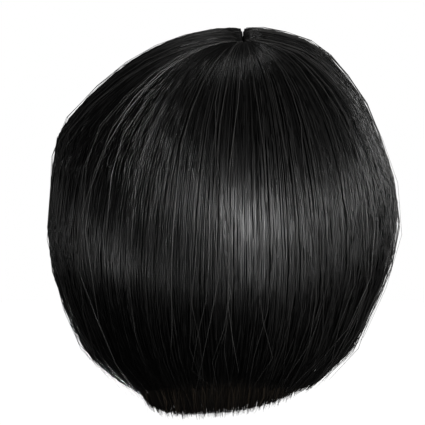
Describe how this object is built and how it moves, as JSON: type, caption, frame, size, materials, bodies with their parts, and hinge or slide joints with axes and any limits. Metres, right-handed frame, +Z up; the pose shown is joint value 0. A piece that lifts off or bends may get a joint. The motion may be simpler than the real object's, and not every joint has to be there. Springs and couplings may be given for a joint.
{
  "type": "costume wig",
  "caption": "Short dark bob wig: an open cap of net, lace straps and elastic bands with adjusters, sewn weft rows, and a parted outer layer with a fringe.",
  "frame": {"origin": "centre of the flat underside of the crown patch, where the top of the wearer's head rests inside the cap", "axes": "+Z up out of the wearer's head; the face opening looks along -Y, the nape is towards +Y, and +X is the wearer's left"},
  "size_m": [0.2068, 0.2295, 0.2216],
  "materials": {
    "hair": "glossy straight synthetic fibre",
    "net": "open elastic net",
    "lace": "stretch lace tape",
    "elastic": "woven elastic tape",
    "band": "folded edge tape",
    "skin_top": "fine translucent base",
    "track": "sewn weft head",
    "velvet": "short velvet pile",
    "hook": "moulded",
    "stay": "flexible strip"
  },
  "bodies": {
    "cap": {"crown_patch": "velvet", "skin_top": "skin_top", "crown_net": "net", "front_band": "band", "nape_band": "band", "side_band_left": "band", "side_band_right": "band", "lace_strap_1": "lace", "lace_strap_2": "lace", "lace_strap_3": "lace", "lace_strap_4": "lace", "lace_strap_5": "lace", "lace_strap_6": "lace", "lace_strap_7": "lace", "hook_loops_left": "lace", "hook_loops_right": "lace", "weft_track_01": "track", "weft_track_02": "track", "weft_track_03": "track", "weft_track_04": "track", "weft_track_05": "track", "weft_track_06": "track", "weft_track_07": "track", "weft_track_08": "track", "weft_track_09": "track", "weft_track_10": "track", "weft_hair_01": "hair", "weft_hair_02": "hair", "weft_hair_03": "hair", "weft_hair_04": "hair", "weft_hair_05": "hair", "weft_hair_06": "hair", "weft_hair_07": "hair", "weft_hair_08": "hair", "weft_hair_09": "hair", "weft_hair_10": "hair", "fringe_track_1": "track", "fringe_track_2": "track", "fringe_track_3": "track", "fringe_weft_1": "hair", "fringe_weft_2": "hair", "fringe_weft_3": "hair", "crown_hair_back": "hair", "crown_hair_left": "hair", "crown_hair_right": "hair", "fringe_hair": "hair"},
    "adjuster_left": {"adjuster_strap_left": "elastic"},
    "hook_left": {"adjuster_hook_left": "hook"},
    "adjuster_right": {"adjuster_strap_right": "elastic"},
    "hook_right": {"adjuster_hook_right": "hook"},
    "ear_tab_fold_left": {"ear_tab_left": "velvet", "ear_tab_stay_left": "stay"},
    "ear_tab_fold_right": {"ear_tab_right": "velvet", "ear_tab_stay_right": "stay"}
  },
  "joints": [
    {"name": "adjuster_swing_left", "type": "hinge", "parent": "cap", "child": "adjuster_left", "pos_m": [0.05864, 0.05421, -0.11135], "axis": [-0.3787, 0.3291, 0.865], "range_deg": [0, 60]},
    {"name": "hook_pivot_left", "type": "hinge", "parent": "adjuster_left", "child": "hook_left", "pos_m": [0.04036, 0.0701, -0.1254], "axis": [-0.3787, 0.3291, 0.865], "range_deg": [0, 70]},
    {"name": "ear_tab_hinge_left", "type": "hinge", "parent": "cap", "child": "ear_tab_fold_left", "pos_m": [0.0755, -0.0067, -0.0859], "axis": [0.0556, 0.9985, 0], "range_deg": [0, 35]},
    {"name": "adjuster_swing_right", "type": "hinge", "parent": "cap", "child": "adjuster_right", "pos_m": [-0.05864, 0.05421, -0.11135], "axis": [-0.3787, -0.3291, -0.865], "range_deg": [0, 60]},
    {"name": "hook_pivot_right", "type": "hinge", "parent": "adjuster_right", "child": "hook_right", "pos_m": [-0.04036, 0.0701, -0.1254], "axis": [-0.3787, -0.3291, -0.865], "range_deg": [0, 70]},
    {"name": "ear_tab_hinge_right", "type": "hinge", "parent": "cap", "child": "ear_tab_fold_right", "pos_m": [-0.0755, -0.0067, -0.0859], "axis": [0.0556, -0.9985, 0], "range_deg": [0, 35]}
  ]
}
